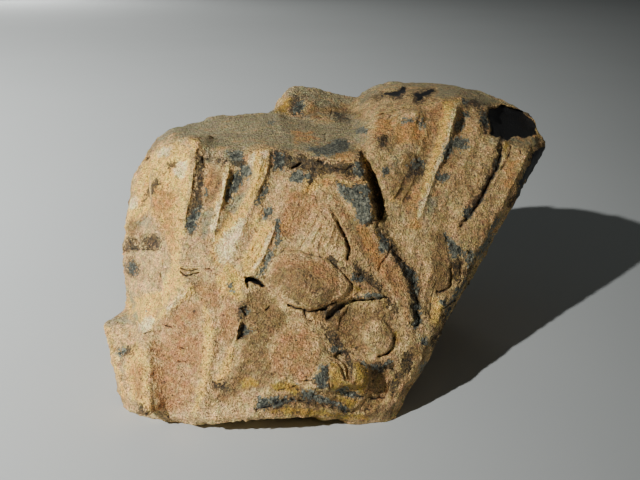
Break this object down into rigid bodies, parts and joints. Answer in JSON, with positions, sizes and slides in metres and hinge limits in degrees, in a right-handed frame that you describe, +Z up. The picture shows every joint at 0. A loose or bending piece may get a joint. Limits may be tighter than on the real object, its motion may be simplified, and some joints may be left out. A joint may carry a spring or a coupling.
{
  "type": "euxenite specimen",
  "caption": "Broken hand-sized lump of euxenite crystals grown together: buff, salmon and ochre crust over blue-black mineral, with one glossy black break.",
  "frame": {"origin": "middle of the bounding box's bottom, on the level of the table", "axes": "+X to the right along the front, +Y away from the front, +Z up"},
  "size_m": [0.1156, 0.1046, 0.0658],
  "materials": {
    "crust": "rough"
  },
  "bodies": {
    "root": {"euxenite_specimen": "crust"}
  },
  "joints": []
}
